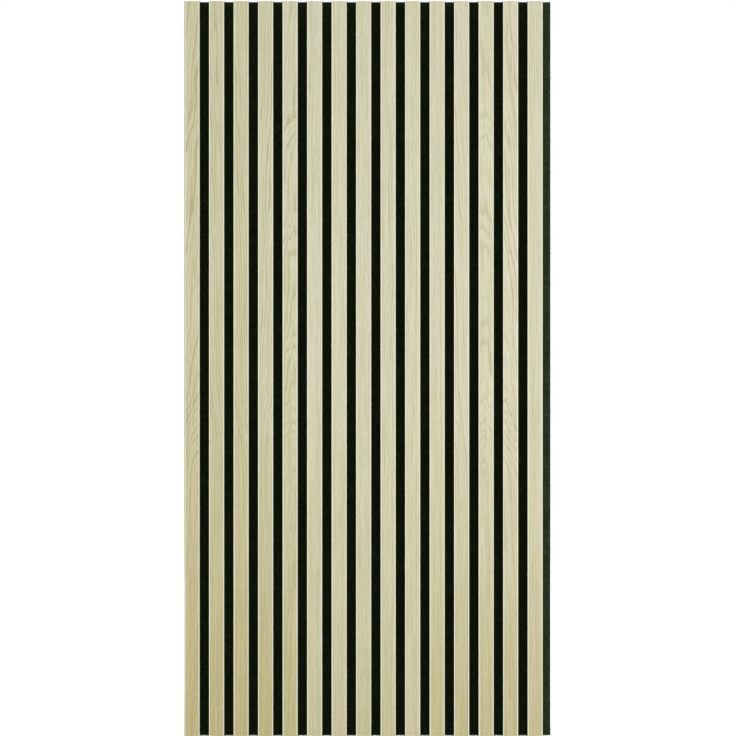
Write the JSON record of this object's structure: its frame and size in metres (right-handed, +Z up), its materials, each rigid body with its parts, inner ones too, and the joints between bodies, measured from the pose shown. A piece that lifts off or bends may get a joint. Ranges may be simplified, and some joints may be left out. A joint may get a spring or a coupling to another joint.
{
  "type": "acoustic slat wall panel",
  "caption": "Upright wall panel of narrow pale oak-veneered slats with black cores, set with even gaps on a thin sheet of black acoustic felt that shows as a tongue at one edge.",
  "frame": {"origin": "centre of the flat back of the felt, the face that bears on the wall", "axes": "+X across the slats from the flush edge to the felt tongue, +Y out of the back into the wall, so the slat faces look along -Y, +Z up along the slats"},
  "size_m": [0.5986, 0.021, 1.2],
  "materials": {
    "felt": "needled polyester felt, matt, greenish black with grey fibres",
    "black_core": "black through-dyed fibreboard, sawn sides, matt",
    "oak_veneer": "pale bleached oak veneer, fine straight grain, dull lacquer",
    "staple_wire": "galvanised wire"
  },
  "bodies": {
    "root": {"felt_backing": "felt", "slat_core_01": "black_core", "slat_core_02": "black_core", "slat_core_03": "black_core", "slat_core_04": "black_core", "slat_core_05": "black_core", "slat_core_06": "black_core", "slat_core_07": "black_core", "slat_core_08": "black_core", "slat_core_09": "black_core", "slat_core_10": "black_core", "slat_core_11": "black_core", "slat_core_12": "black_core", "slat_core_13": "black_core", "slat_core_14": "black_core", "slat_core_15": "black_core", "slat_face_01": "oak_veneer", "slat_face_02": "oak_veneer", "slat_face_03": "oak_veneer", "slat_face_04": "oak_veneer", "slat_face_05": "oak_veneer", "slat_face_06": "oak_veneer", "slat_face_07": "oak_veneer", "slat_face_08": "oak_veneer", "slat_face_09": "oak_veneer", "slat_face_10": "oak_veneer", "slat_face_11": "oak_veneer", "slat_face_12": "oak_veneer", "slat_face_13": "oak_veneer", "slat_face_14": "oak_veneer", "slat_face_15": "oak_veneer", "staples": "staple_wire"}
  },
  "joints": []
}
